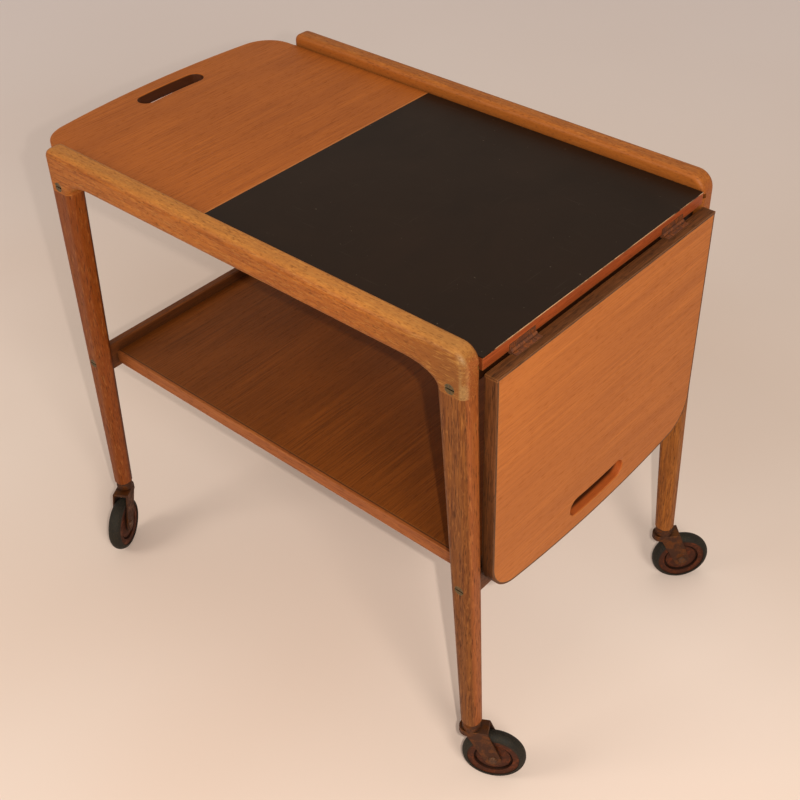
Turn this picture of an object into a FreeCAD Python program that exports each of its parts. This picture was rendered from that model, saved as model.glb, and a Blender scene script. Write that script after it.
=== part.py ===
"""Drop leaf tea trolley, modelled as its separate pieces, in millimetres.

Frame: X runs along the trolley, with the drop leaf at the +X end; Y runs across it, with the near side at
-Y; Z is up, and the floor is z = 0. The origin is on the floor, midway between the four legs.
"""

import FreeCAD
import Part
import math
import os

Vec = FreeCAD.Vector

# ---------------------------------------------------------------- driving dimensions (mm)

# side frames: a rail with a down-turned block at each end, and a leg under each block
RAIL_LENGTH = 630.0
FRAME_WIDTH = 435.0  # over the outer faces of the two side frames
FRAME_HEIGHT = 628.0  # floor to the top of the rails
RAIL_THICKNESS = 25.0
RAIL_DEPTH = 35.5
LEFT_RAIL_END_RADIUS = 10.0  # rounded upper corner of a rail's left end, seen from the side
RIGHT_RAIL_END_RADIUS = 20.0
BLOCK_DEPTH = 52.0  # rail top to the joint between block and leg
BLOCK_WIDTH = 36.0  # along X; the leg starts with the same width
COVE_RUN = 42.0  # length of the hollow curve that leads from rail into block
OUTER_ROUND = 8.5  # rounding of the edges on the outside of a frame
INNER_ROUND = 6.0  # rounding of the edges on the inside of a frame

# legs
FOOT_WIDTH = 23.0
FOOT_ROUND = 9.5  # corner radius at the foot, nearly a circle
FOOT_OVERHANG = 3.5  # the foot's centre stands this far beyond the rail's end
TENON_WIDTH = 18.0
TENON_THICKNESS = 9.0
TENON_LENGTH = 34.0

# cross rails
UPPER_RAIL_THICKNESS = 16.0
LOWER_RAIL_THICKNESS = 11.0
LOWER_RAIL_DEPTH = 38.0
LOWER_RAIL_BOTTOM = 296.0
CROSS_RAIL_ROUND = 2.0

# shelf
SHELF_THICKNESS = 17.0
SHELF_INSET = 35.5  # from the outer faces of the side frames
SHELF_DROP = 15.0  # shelf surface below the top of the lower cross rails
SHELF_LIPPING = 6.0
SHELF_TONGUE = 9.0  # thickness of the tongue along each end, level with the shelf's underside
SHELF_TONGUE_LENGTH = 3.0  # the tongues sit this deep in the lower cross rails

# top and leaf
PANEL_THICKNESS = 15.0
RAIL_LIP = 15.0  # rails stand this far above the top's surface
SIDE_GAP = 1.2  # between a panel's long edge and the rail
TOP_OVERHANG = 63.0  # the bowed end stands this far beyond the rails' left ends
LEAF_LENGTH = 306.0
BOW_RADIUS = 1200.0
CORNER_RADIUS = 44.0
SLOT_SETBACK = 33.0  # bowed edge to the middle of the finger slot
SLOT_LENGTH = 102.0
SLOT_WIDTH = 24.0
SLOT_BOW_RADIUS = 600.0  # the slot bends more than the bowed edge
SLOT_ROUND = 1.5
PANEL_ROUND = 1.0
END_LIPPING = 6.0  # along the top's hinge edge
LEAF_END_LIPPING = 3.0  # along the leaf's hinge edge
BOW_LIPPING = 3.0
LAMINATE_LENGTH = 392.0
LAMINATE_THICKNESS = 1.2
DIVIDER_WIDTH = 2.0
TONGUE_WIDTH = 12.0
TONGUE_THICKNESS = 5.0
TONGUE_SET_IN = 5.0  # part of the tongue that is glued into the top's edge
TONGUE_END_GAP = 2.0  # the tongues stop this far before the rails' left ends
GROOVE_CLEARANCE = 0.3

# butt hinges of the leaf
HINGE_LENGTH = 40.0
HINGE_SPACING = 262.0
HINGE_GAP = 1.6  # between top and raised leaf
HINGE_DROP = 1.7  # pin axis below the panels' undersides
KNUCKLE_RADIUS = 2.75
HINGE_PIN_RADIUS = 1.3
FLAP_THICKNESS = 1.3
FLAP_HEIGHT = 8.5
KNUCKLE_COUNT = 3
HINGE_SCREW_SPACING = 24.0
HINGE_SCREW_HEIGHT = 5.6  # above the pin axis
HINGE_SCREW_HEAD_RADIUS = 2.4
HINGE_SCREW_HEAD_DEPTH = 1.2
HINGE_SCREW_RADIUS = 1.2
HINGE_SCREW_CORE_RADIUS = 0.9
HINGE_SCREW_LENGTH = 13.0
HINGE_SCREW_SLOT = 0.6

# frame screws, through the frames into the ends of the cross rails
SCREW_HEAD_RADIUS = 6.0
SCREW_HEAD_DEPTH = 3.5
SCREW_SHANK_RADIUS = 2.5
SCREW_CORE_RADIUS = 1.8
SCREW_LENGTH = 62.0
SCREW_SLOT = 1.5
UPPER_SCREW_RISE = 7.2  # above the joint between block and leg
LOWER_SCREW_RISE = 22.0  # above the underside of the lower cross rails

# casters
WHEEL_RADIUS = 38.2
TRAIL = 27.5
TYRE_WIDTH = 17.0
TYRE_FOOT_WIDTH = 12.0
TREAD_HEIGHT = 4.5  # radial height of the rounded tread
TYRE_HEIGHT = 7.2  # radial height of the tyre outside the rim
FLANGE_HEIGHT = 3.5
FLANGE_WIDTH = 15.0
RIM_HEIGHT = 7.5  # flange's edge to the ring groove
RING_GROOVE = 3.0  # radial width of the groove between rim and dish
DISH_EDGE_WIDTH = 11.0
DISH_MIDDLE_WIDTH = 15.0
WEB_WIDTH = 6.0
HUB_RADIUS = 7.5
FORK_WIDTH = 22.0
FORK_METAL = 2.0
CROWN_FRONT = 14.5  # crown ahead of the swivel axis
CROWN_BACK = 20.5  # crown behind it, over the wheel
CROWN_CLEARANCE = 6.6  # over the tyre
SKIRT_DEPTH = 8.0
AXLE_BOSS_RADIUS = 10.0
AXLE_RADIUS = 3.0
AXLE_HEAD_RADIUS = 5.5
AXLE_HEAD_HEIGHT = 1.8
STEM_RADIUS = 4.0
STEM_LENGTH = 32.0  # part inside the leg
STEM_RIVET_RADIUS = 6.5
STEM_RIVET_HEIGHT = 2.6
RACE_HEIGHT = 12.2
RACE_RADIUS = 11.0
RACE_CUP_HEIGHT = 7.0  # straight part of the race, below its cone
RACE_TOP_RADIUS = 9.5
SOCKET_RADIUS = 5.6
SOCKET_LENGTH = 36.0
SOCKET_FLANGE_RADIUS = 9.5
SOCKET_FLANGE = 1.0
HEADINGS = {  # direction in which each wheel trails, degrees from +X towards +Y
    "near_right": 30.0,
    "far_right": 47.0,
    "near_left": -60.0,
    "far_left": 121.0,
}

# fits
RUNNING_FIT = 0.05  # radial, shaft in a bore that turns on it
CLOSE_FIT = 0.02  # radial, shaft in a bore that holds it
PART_GAP = 0.3  # between pieces that move past each other
OVERSHOOT = 1.0  # a cutter runs this far past the face that it opens
TOUCH = 1e-6  # places closer than this are the same

# ---------------------------------------------------------------- places worked out from them

END_X = RAIL_LENGTH / 2
OUTER_Y = FRAME_WIDTH / 2
INNER_Y = OUTER_Y - RAIL_THICKNESS
RAIL_BOTTOM = FRAME_HEIGHT - RAIL_DEPTH
JOINT_Z = FRAME_HEIGHT - BLOCK_DEPTH
TOP_SURFACE = FRAME_HEIGHT - RAIL_LIP
TOP_UNDERSIDE = TOP_SURFACE - PANEL_THICKNESS
BLOCK_X = END_X - BLOCK_WIDTH / 2
FOOT_X = END_X + FOOT_OVERHANG
FOOT_Y = OUTER_Y - FOOT_WIDTH / 2
PANEL_HALF_WIDTH = INNER_Y - SIDE_GAP
UPPER_SCREW_HEIGHT = JOINT_Z + UPPER_SCREW_RISE
LOWER_SCREW_HEIGHT = LOWER_RAIL_BOTTOM + LOWER_SCREW_RISE
SHELF_WIDTH = FRAME_WIDTH - 2 * SHELF_INSET
TOP_LENGTH = RAIL_LENGTH + TOP_OVERHANG
GROOVE_Z = TOP_UNDERSIDE + PANEL_THICKNESS / 2
TONGUE_END = RAIL_LENGTH - TONGUE_END_GAP  # from the hinge edge; the bow lipping starts there
GROOVE_DEPTH = TONGUE_WIDTH - TONGUE_SET_IN - SIDE_GAP + GROOVE_CLEARANCE
SHELF_SURFACE = LOWER_RAIL_BOTTOM + LOWER_RAIL_DEPTH - SHELF_DROP
FLAP_FACE = -HINGE_GAP / 2 + PART_GAP / 2  # face of a flap, from the panel's edge
FLAP_BACK = FLAP_FACE + FLAP_THICKNESS
BARREL_CLEARANCE = KNUCKLE_RADIUS + PART_GAP
TYRE_SHOULDER_RADIUS = WHEEL_RADIUS - TREAD_HEIGHT
RIM_RADIUS = WHEEL_RADIUS - TYRE_HEIGHT
SEAT_RADIUS = RIM_RADIUS - FLANGE_HEIGHT
RIM_INNER_RADIUS = RIM_RADIUS - RIM_HEIGHT
DISH_RADIUS = RIM_INNER_RADIUS - RING_GROOVE
CROWN_TOP = 2 * WHEEL_RADIUS + CROWN_CLEARANCE + FORK_METAL
RACE_BOTTOM = CROWN_TOP + PART_GAP
CASTER_HEIGHT = RACE_BOTTOM + RACE_HEIGHT + SOCKET_FLANGE  # floor to the end of the leg
HUB_WIDTH = FORK_WIDTH - 2 * FORK_METAL - 2 * PART_GAP
SIDES = {"near": -1, "far": 1}
ENDS = {"left": -1, "right": 1}


def leg_share(height):
    """How far down the leg a height is: 0 at the joint, 1 at the foot."""
    return (JOINT_Z - height) / (JOINT_Z - CASTER_HEIGHT)


def leg_centre_x(height):
    """Distance of the leg's middle line from the YZ plane at a height."""
    return BLOCK_X + (FOOT_X - BLOCK_X) * leg_share(height)


def leg_inner_y(height):
    """Distance of the leg's inner face from the XZ plane at a height."""
    return INNER_Y + (OUTER_Y - FOOT_WIDTH - INNER_Y) * leg_share(height)


# ---------------------------------------------------------------- shared shapes


def box(x_range, y_range, z_range):
    """Box between the two values given for each axis, in either order."""
    low = [min(pair) for pair in (x_range, y_range, z_range)]
    high = [max(pair) for pair in (x_range, y_range, z_range)]
    return Part.makeBox(high[0] - low[0], high[1] - low[1], high[2] - low[2], Vec(*low))


def polyline(points):
    """Straight edges through the points, not closed."""
    return [Part.LineSegment(a, b).toShape() for a, b in zip(points, points[1:])]


def arc(centre, radius, start, end):
    """Arc in the XY plane between two angles in degrees."""
    angles = [math.radians(a) for a in (start, (start + end) / 2, end)]
    points = [centre + Vec(math.cos(a), math.sin(a), 0) * radius for a in angles]
    return Part.Arc(*points).toShape()


def face_of(edges):
    """Flat face inside a loop of edges."""
    return Part.Face(Part.Wire(Part.__sortEdges__(edges)))


def rounded_rectangle(x_range, y_range, height, radii):
    """Wire with four rounded corners; radii are for the first and the second value of y_range."""
    corners = []
    for y_end, radius in zip(y_range, radii):
        inward = 1 if y_end == min(y_range) else -1
        for x_end, step in ((min(x_range), 1), (max(x_range), -1)):
            centre = Vec(x_end + step * radius, y_end + inward * radius, height)
            toward_x = 180 if step > 0 else 0
            toward_y = -90 if inward > 0 else 90
            turn = (toward_y - toward_x + 180) % 360 - 180
            corners.append((inward, step, arc(centre, radius, toward_x, toward_x + turn)))
    order = {(1, 1): 0, (1, -1): 1, (-1, -1): 2, (-1, 1): 3}
    arcs = [corner[2] for corner in sorted(corners, key=lambda corner: order[corner[0], corner[1]])]
    edges = []
    for index, edge in enumerate(arcs):
        following = arcs[(index + 1) % len(arcs)]
        end = edge.Vertexes[-1].Point if index % 2 == 0 else edge.Vertexes[0].Point
        start = following.Vertexes[0].Point if index % 2 == 1 else following.Vertexes[-1].Point
        edges += [edge, Part.LineSegment(end, start).toShape()]
    return Part.Wire(Part.__sortEdges__(edges))


def revolved(profile):
    """Solid of revolution about the Z axis from (radius, height) corners."""
    points = [Vec(radius, 0, height) for radius, height in profile]
    face = face_of(polyline(points + points[:1]))
    return face.revolve(Vec(0, 0, 0), Vec(0, 0, 1), 360)


def aimed(shape, point, outward):
    """Copy of a shape with its +Z axis turned to a direction and its origin moved to a point."""
    placed = shape.copy()
    placed.Placement = FreeCAD.Placement(point, FreeCAD.Rotation(Vec(0, 0, 1), outward))
    return placed


def mirrored(shape, end=1, side=1):
    """Copy of a +X, +Y corner piece for the end and side given by the two signs."""
    if end < 0:
        shape = shape.mirror(Vec(0, 0, 0), Vec(1, 0, 0))
    if side < 0:
        shape = shape.mirror(Vec(0, 0, 0), Vec(0, 1, 0))
    return shape


def rounded(shape, radius, wanted):
    """Shape with a rounding on each edge whose bounding box passes the test."""
    edges = [edge for edge in shape.Edges if wanted(edge.BoundBox)]
    return shape.makeFillet(radius, edges)


# ---------------------------------------------------------------- screws


def countersunk_screw(head_radius, head_depth, shank_radius, shank_length, core_radius, length, slot):
    """Slotted screw along -Z, with its flush head at z = 0."""
    tip = 2 * core_radius
    body = revolved([
        (0, 0),
        (head_radius, 0),
        (shank_radius, -head_depth),
        (shank_radius, -shank_length),
        (core_radius, -shank_length),
        (core_radius, tip - length),
        (0, -length),
    ])
    groove = box((-head_radius, head_radius), (-slot / 2, slot / 2), (-slot, OVERSHOOT))
    return body.cut(groove)


def screw_hole(head_radius, head_depth, shank_radius, shank_length, core_radius, length):
    """Countersunk hole along -Z that holds such a screw with a close fit."""
    fit = CLOSE_FIT
    return revolved([
        (0, OVERSHOOT),
        (head_radius + fit, OVERSHOOT),
        (head_radius + fit, 0),
        (shank_radius + fit, -head_depth),
        (shank_radius + fit, -shank_length),
        (core_radius + fit, -shank_length),
        (core_radius + fit, -length - fit),
        (0, -length - fit),
    ])


FRAME_SCREW = (SCREW_HEAD_RADIUS, SCREW_HEAD_DEPTH, SCREW_SHANK_RADIUS, RAIL_THICKNESS,
               SCREW_CORE_RADIUS, SCREW_LENGTH)
HINGE_SCREW = (HINGE_SCREW_HEAD_RADIUS, HINGE_SCREW_HEAD_DEPTH, HINGE_SCREW_RADIUS, FLAP_THICKNESS,
               HINGE_SCREW_CORE_RADIUS, HINGE_SCREW_LENGTH)


def frame_screw_points(side):
    """Head centres of the upper and lower screws at the +X end of one side."""
    heights = (UPPER_SCREW_HEIGHT, LOWER_SCREW_HEIGHT)
    places = (BLOCK_X, leg_centre_x(LOWER_SCREW_HEIGHT))
    return [Vec(x, side * OUTER_Y, z) for x, z in zip(places, heights)]


def frame_screw_holes():
    """Both screw holes at the +X, +Y corner."""
    hole = screw_hole(*FRAME_SCREW)
    return [aimed(hole, point, Vec(0, 1, 0)) for point in frame_screw_points(1)]


def frame_screws():
    """All eight frame screws as one group."""
    screw = countersunk_screw(*FRAME_SCREW, SCREW_SLOT)
    corner = [aimed(screw, point, Vec(0, 1, 0)) for point in frame_screw_points(1)]
    group = [mirrored(one, end, side) for one in corner for end in ENDS.values() for side in SIDES.values()]
    return Part.makeCompound(group)


# ---------------------------------------------------------------- side frames


def rail_half_outline(end):
    """Edges of half a side rail's elevation, drawn in the XY plane, for the end given by its sign."""
    block_in = END_X - BLOCK_WIDTH
    cove_start = block_in - COVE_RUN
    end_radius = RIGHT_RAIL_END_RADIUS if end > 0 else LEFT_RAIL_END_RADIUS
    round_x = END_X - end_radius
    round_z = FRAME_HEIGHT - end_radius
    diagonal = end_radius * math.sqrt(0.5)
    circle_share = 4 * (math.sqrt(2) - 1) / 3  # handle length of a quarter turn drawn as one Bezier curve
    handle_z = (RAIL_BOTTOM - JOINT_Z) * circle_share
    handle_x = COVE_RUN * circle_share
    at = lambda x, z: Vec(end * x, z, 0)
    cove = Part.BezierCurve()
    cove.setPoles([
        at(block_in, JOINT_Z),
        at(block_in, JOINT_Z + handle_z),
        at(cove_start + handle_x, RAIL_BOTTOM),
        at(cove_start, RAIL_BOTTOM),
    ])
    corner = Part.Arc(
        at(round_x, FRAME_HEIGHT), at(round_x + diagonal, round_z + diagonal), at(END_X, round_z)
    )
    top = polyline([at(0, FRAME_HEIGHT), at(round_x, FRAME_HEIGHT)])
    side = polyline([at(END_X, round_z), at(END_X, JOINT_Z), at(block_in, JOINT_Z)])
    bottom = polyline([at(cove_start, RAIL_BOTTOM), at(0, RAIL_BOTTOM)])
    return top + [corner.toShape()] + side + [cove.toShape()] + bottom


def joint_socket():
    """Tenon of the leg at the +X, +Y corner, which also cuts the mortise."""
    middle_y = OUTER_Y - RAIL_THICKNESS / 2
    return box(
        (BLOCK_X - TENON_WIDTH / 2, BLOCK_X + TENON_WIDTH / 2),
        (middle_y - TENON_THICKNESS / 2, middle_y + TENON_THICKNESS / 2),
        (JOINT_Z, JOINT_Z + TENON_LENGTH),
    )


def side_rail():
    """Far side rail: elevation pulled to its thickness, rounded, mortised, drilled and grooved."""
    elevation = face_of(rail_half_outline(1) + rail_half_outline(-1))
    elevation.rotate(Vec(0, 0, 0), Vec(1, 0, 0), 90)
    rail = elevation.extrude(Vec(0, RAIL_THICKNESS, 0))
    rail.translate(Vec(0, INNER_Y, 0))

    def on_face(face_y):
        """Test for the edges of a long face, but not those at the joint with the leg."""
        return lambda b: max(abs(b.YMin - face_y), abs(b.YMax - face_y)) < TOUCH and b.ZMax > JOINT_Z + TOUCH

    rail = rounded(rail, OUTER_ROUND, on_face(OUTER_Y))
    rail = rounded(rail, INNER_ROUND, on_face(INNER_Y))
    for end in ENDS.values():
        for cutter in [joint_socket()] + frame_screw_holes():
            rail = rail.cut(mirrored(cutter, end))
    half_groove = TONGUE_THICKNESS / 2 + GROOVE_CLEARANCE
    groove = box(
        (-END_X, END_X), (INNER_Y, INNER_Y + GROOVE_DEPTH), (GROOVE_Z - half_groove, GROOVE_Z + half_groove)
    )
    return rail.cut(groove)


def leg():
    """Leg of the +X, +Y corner: tapered and splayed along X, with a tenon and a bore for the caster."""
    half_foot = FOOT_WIDTH / 2
    head = rounded_rectangle(
        (END_X - BLOCK_WIDTH, END_X), (INNER_Y, OUTER_Y), JOINT_Z, (INNER_ROUND, OUTER_ROUND)
    )
    foot = rounded_rectangle(
        (FOOT_X - half_foot, FOOT_X + half_foot), (OUTER_Y - FOOT_WIDTH, OUTER_Y), CASTER_HEIGHT,
        (FOOT_ROUND, FOOT_ROUND),
    )
    shape = Part.makeLoft([foot, head], True, True).fuse(joint_socket()).removeSplitter()
    for hole in frame_screw_holes():
        shape = shape.cut(hole)
    bore = Part.makeCylinder(
        SOCKET_RADIUS + CLOSE_FIT, SOCKET_LENGTH + CLOSE_FIT, Vec(FOOT_X, FOOT_Y, CASTER_HEIGHT)
    )
    return shape.cut(bore)


# ---------------------------------------------------------------- cross rails and shelf


def upper_cross_rail():
    """Cross rail under the +X end of the top, flush with the top's underside."""
    half = UPPER_RAIL_THICKNESS / 2
    rail = box((BLOCK_X - half, BLOCK_X + half), (-INNER_Y, INNER_Y), (JOINT_Z, TOP_UNDERSIDE))
    rail = rounded(
        rail, CROSS_RAIL_ROUND, lambda b: b.YLength > INNER_Y and abs(b.ZMax - JOINT_Z) < TOUCH
    )
    for side in SIDES.values():
        rail = rail.cut(mirrored(frame_screw_holes()[0], 1, side))
    return rail


def lower_cross_rail():
    """Cross rail at the +X end of the shelf; its ends follow the legs, and its inner face is grooved."""
    low = LOWER_RAIL_BOTTOM
    high = LOWER_RAIL_BOTTOM + LOWER_RAIL_DEPTH
    centre = leg_centre_x(LOWER_SCREW_HEIGHT)
    half = LOWER_RAIL_THICKNESS / 2
    outline = [
        Vec(centre - half, -leg_inner_y(low), low),
        Vec(centre - half, leg_inner_y(low), low),
        Vec(centre - half, leg_inner_y(high), high),
        Vec(centre - half, -leg_inner_y(high), high),
    ]
    rail = face_of(polyline(outline + outline[:1])).extrude(Vec(LOWER_RAIL_THICKNESS, 0, 0))
    rail = rounded(rail, CROSS_RAIL_ROUND, lambda b: b.YLength > INNER_Y)
    for side in SIDES.values():
        rail = rail.cut(mirrored(frame_screw_holes()[1], 1, side))
    return rail.cut(shelf_blank())


def shelf_blank():
    """The whole shelf with its lippings and the tongues that fill the grooves of the cross rails."""
    half = SHELF_WIDTH / 2
    underside = SHELF_SURFACE - SHELF_THICKNESS
    reach = leg_centre_x(LOWER_SCREW_HEIGHT) - LOWER_RAIL_THICKNESS / 2
    tongue_reach = reach + SHELF_TONGUE_LENGTH
    board = box((-reach, reach), (-half, half), (underside, SHELF_SURFACE))
    tongues = box((-tongue_reach, tongue_reach), (-half, half), (underside, underside + SHELF_TONGUE))
    return board.fuse(tongues).removeSplitter()


def shelf_panel():
    """Veneered shelf between its two lippings."""
    half = SHELF_WIDTH / 2 - SHELF_LIPPING
    return shelf_blank().common(box((-END_X, END_X), (-half, half), (0, FRAME_HEIGHT)))


def shelf_lipping():
    """Solid lipping along the far edge of the shelf, with its outer edges eased."""
    outer = SHELF_WIDTH / 2
    strip = shelf_blank().common(
        box((-END_X, END_X), (outer - SHELF_LIPPING, outer), (0, FRAME_HEIGHT))
    )
    return rounded(
        strip, PANEL_ROUND, lambda b: b.XLength > END_X and abs(b.YMin - outer) < TOUCH
    )


# ---------------------------------------------------------------- top and leaf
# A panel is drawn with its hinge edge on x = 0, its bowed end towards +X and its underside on z = 0.


def bowed_outline(length, inset):
    """Face of a panel's plan, drawn inwards from the true edge by the inset, except at the hinge edge."""
    half = PANEL_HALF_WIDTH - inset
    bow = BOW_RADIUS - inset
    corner = CORNER_RADIUS - inset
    bow_centre = Vec(length - BOW_RADIUS, 0, 0)
    corner_y = half - corner
    corner_x = bow_centre.x + math.sqrt((bow - corner) ** 2 - corner_y ** 2)
    tangent = math.degrees(math.atan2(corner_y, corner_x - bow_centre.x))
    edges = polyline([Vec(corner_x, half, 0), Vec(0, half, 0), Vec(0, -half, 0), Vec(corner_x, -half, 0)])
    edges.append(arc(Vec(corner_x, -corner_y, 0), corner, -90, -tangent))
    edges.append(arc(bow_centre, bow, -tangent, tangent))
    edges.append(arc(Vec(corner_x, corner_y, 0), corner, tangent, 90))
    return face_of(edges)


def finger_slot(length):
    """Cutter for the finger slot, bent towards the bow; it is thicker than the panel both ways."""
    centre = Vec(length - SLOT_SETBACK - SLOT_BOW_RADIUS, 0, 0)
    middle = SLOT_BOW_RADIUS
    cap = SLOT_WIDTH / 2
    sweep = math.degrees(math.asin((SLOT_LENGTH / 2 - cap) / middle))
    edges = [arc(centre, middle + cap, -sweep, sweep), arc(centre, middle - cap, -sweep, sweep)]
    for sign in (1, -1):
        angle = math.radians(sign * sweep)
        cap_centre = centre + Vec(math.cos(angle), math.sin(angle), 0) * middle
        edges.append(arc(cap_centre, cap, sign * sweep, sign * (sweep + 180)))
    slot = face_of(edges).extrude(Vec(0, 0, 3 * PANEL_THICKNESS))
    slot.translate(Vec(0, 0, -PANEL_THICKNESS))
    return slot


def slotted(panel, length):
    """Panel with the finger slot cut through it and the slot's edges rounded."""
    panel = panel.cut(finger_slot(length))
    middle_x = length - SLOT_SETBACK
    near_slot = lambda b: (
        b.ZLength < TOUCH
        and b.XMin > middle_x - 2 * SLOT_WIDTH
        and b.XMax < middle_x + SLOT_WIDTH
        and max(abs(b.YMin), abs(b.YMax)) < SLOT_LENGTH / 2 + SLOT_ROUND
    )
    return rounded(panel, SLOT_ROUND, near_slot)


def hinge_edge_lipping(depth, height):
    """Straight lipping along a panel's hinge edge."""
    return box((0, depth), (-PANEL_HALF_WIDTH, PANEL_HALF_WIDTH), (0, height))


def bow_lipping(length, start):
    """Lipping round a panel's bowed end and back along its sides to x = start, with its edges eased."""
    ring = bowed_outline(length, 0).cut(bowed_outline(length, BOW_LIPPING))
    strip = ring.extrude(Vec(0, 0, PANEL_THICKNESS))
    strip = strip.common(box((start, length), (-INNER_Y, INNER_Y), (0, PANEL_THICKNESS)))
    outside = lambda b: b.ZLength < TOUCH and (
        b.XMax > length - PANEL_ROUND or max(b.YMax, -b.YMin) > PANEL_HALF_WIDTH - PANEL_ROUND
    ) and max(b.XLength, b.YLength) > 2 * BOW_LIPPING
    return rounded(strip, PANEL_ROUND, outside)


def hinge_middles():
    """Y of the middle of each hinge."""
    return {name: side * HINGE_SPACING / 2 for name, side in SIDES.items()}


def hinge_screw_places(middle):
    """Head centres of the two screws of one flap, in the panel's own frame."""
    height = HINGE_SCREW_HEIGHT - HINGE_DROP
    return [Vec(FLAP_FACE, middle + step * HINGE_SCREW_SPACING / 2, height) for step in (-1, 1)]


def hinge_pockets():
    """Everything that the hinges take out of a panel's hinge edge: flap beds, barrel notches, holes."""
    cutters = []
    reach = HINGE_LENGTH / 2 + PART_GAP
    hole = screw_hole(*HINGE_SCREW)
    for middle in hinge_middles().values():
        span = (middle - reach, middle + reach)
        cutters.append(box((-OVERSHOOT, FLAP_BACK), span, (-OVERSHOOT, FLAP_HEIGHT - HINGE_DROP)))
        start = Vec(-HINGE_GAP / 2, middle - reach, -HINGE_DROP)
        cutters.append(Part.makeCylinder(BARREL_CLEARANCE, 2 * reach, start, Vec(0, 1, 0)))
        cutters += [aimed(hole, place, Vec(-1, 0, 0)) for place in hinge_screw_places(middle)]
    return cutters


def without_hinges(piece):
    """Piece of a panel with the hinge pockets taken out of it."""
    for cutter in hinge_pockets():
        piece = piece.cut(cutter)
    return piece


def knuckle_spans(middle, of_leaf):
    """Y ranges of a flap's own knuckles: the leaf has every second one, starting with the second."""
    pitch = HINGE_LENGTH / KNUCKLE_COUNT
    first = middle - HINGE_LENGTH / 2
    spans = []
    for index in range(KNUCKLE_COUNT):
        if (index % 2 == 1) == of_leaf:
            low = first + index * pitch + (PART_GAP / 2 if index else 0)
            high = first + (index + 1) * pitch - (PART_GAP / 2 if index < KNUCKLE_COUNT - 1 else 0)
            spans.append((low, high))
    return spans


def hinge_flap(middle, of_leaf):
    """Flap with its knuckles, seated on a panel's hinge edge, in the panel's own frame."""
    axis_x = -HINGE_GAP / 2
    half = HINGE_LENGTH / 2
    rod = lambda radius, low, high: Part.makeCylinder(
        radius, high - low, Vec(axis_x, low, -HINGE_DROP), Vec(0, 1, 0)
    )
    height = (-HINGE_DROP, FLAP_HEIGHT - HINGE_DROP)
    flap = box((FLAP_FACE, FLAP_BACK), (middle - half, middle + half), height)
    for low, high in knuckle_spans(middle, not of_leaf):
        flap = flap.cut(rod(BARREL_CLEARANCE, low - PART_GAP, high + PART_GAP))
    for low, high in knuckle_spans(middle, of_leaf):
        flap = flap.fuse(rod(KNUCKLE_RADIUS, low, high))
    fit = RUNNING_FIT if of_leaf else CLOSE_FIT
    flap = flap.removeSplitter().cut(rod(HINGE_PIN_RADIUS + fit, middle - half, middle + half))
    hole = screw_hole(*HINGE_SCREW)
    for place in hinge_screw_places(middle):
        flap = flap.cut(aimed(hole, place, Vec(-1, 0, 0)))
    return flap


def hinge_pin(middle):
    """Pin through all the knuckles of one hinge, in the panel's own frame."""
    start = Vec(-HINGE_GAP / 2, middle - HINGE_LENGTH / 2, -HINGE_DROP)
    return Part.makeCylinder(HINGE_PIN_RADIUS, HINGE_LENGTH, start, Vec(0, 1, 0))


def hinge_screws():
    """Screws of both flaps on one panel, as one group."""
    screw = countersunk_screw(*HINGE_SCREW, HINGE_SCREW_SLOT)
    places = [place for middle in hinge_middles().values() for place in hinge_screw_places(middle)]
    return Part.makeCompound([aimed(screw, place, Vec(-1, 0, 0)) for place in places])


def top_board():
    """Veneered board of the top, recessed for the laminate and grooved for its tongues."""
    full = bowed_outline(TOP_LENGTH, 0).extrude(Vec(0, 0, PANEL_THICKNESS))
    inner = bowed_outline(TOP_LENGTH, BOW_LIPPING).extrude(Vec(0, 0, PANEL_THICKNESS))
    wide = (-INNER_Y, INNER_Y)
    board = full.common(box((END_LIPPING, TONGUE_END), wide, (0, PANEL_THICKNESS)))
    bow = inner.common(box((TONGUE_END, TOP_LENGTH), wide, (0, PANEL_THICKNESS)))
    board = board.fuse(bow).removeSplitter()
    covered = LAMINATE_LENGTH + DIVIDER_WIDTH
    board = board.cut(box((0, covered), wide, (PANEL_THICKNESS - LAMINATE_THICKNESS, 2 * PANEL_THICKNESS)))
    for side in SIDES.values():
        board = board.cut(tongue(side))
    return without_hinges(slotted(board, TOP_LENGTH))


def tongue(side):
    """Strip glued into one long edge of the top, which runs in the rail's groove."""
    inner = side * (PANEL_HALF_WIDTH - TONGUE_SET_IN)
    half = TONGUE_THICKNESS / 2
    middle = PANEL_THICKNESS / 2
    width = (inner, inner + side * TONGUE_WIDTH)
    return box((END_LIPPING, TONGUE_END), width, (middle - half, middle + half))


def laminate():
    """Laminate sheet over the top's hinge end, its right edge flush with the lipping's face."""
    low = PANEL_THICKNESS - LAMINATE_THICKNESS
    return box((0, LAMINATE_LENGTH), (-PANEL_HALF_WIDTH, PANEL_HALF_WIDTH), (low, PANEL_THICKNESS))


def divider_strip():
    """Narrow strip of pale wood between laminate and veneer."""
    low = PANEL_THICKNESS - LAMINATE_THICKNESS
    return box(
        (LAMINATE_LENGTH, LAMINATE_LENGTH + DIVIDER_WIDTH),
        (-PANEL_HALF_WIDTH, PANEL_HALF_WIDTH),
        (low, PANEL_THICKNESS),
    )


def top_end_lipping():
    """Lipping of the top's hinge edge, under the laminate."""
    return without_hinges(hinge_edge_lipping(END_LIPPING, PANEL_THICKNESS - LAMINATE_THICKNESS))


def leaf_panel():
    """Veneered board of the leaf inside its lippings."""
    inner = bowed_outline(LEAF_LENGTH, BOW_LIPPING).extrude(Vec(0, 0, PANEL_THICKNESS))
    panel = inner.common(box((LEAF_END_LIPPING, LEAF_LENGTH), (-INNER_Y, INNER_Y), (0, PANEL_THICKNESS)))
    return without_hinges(slotted(panel, LEAF_LENGTH))


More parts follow.
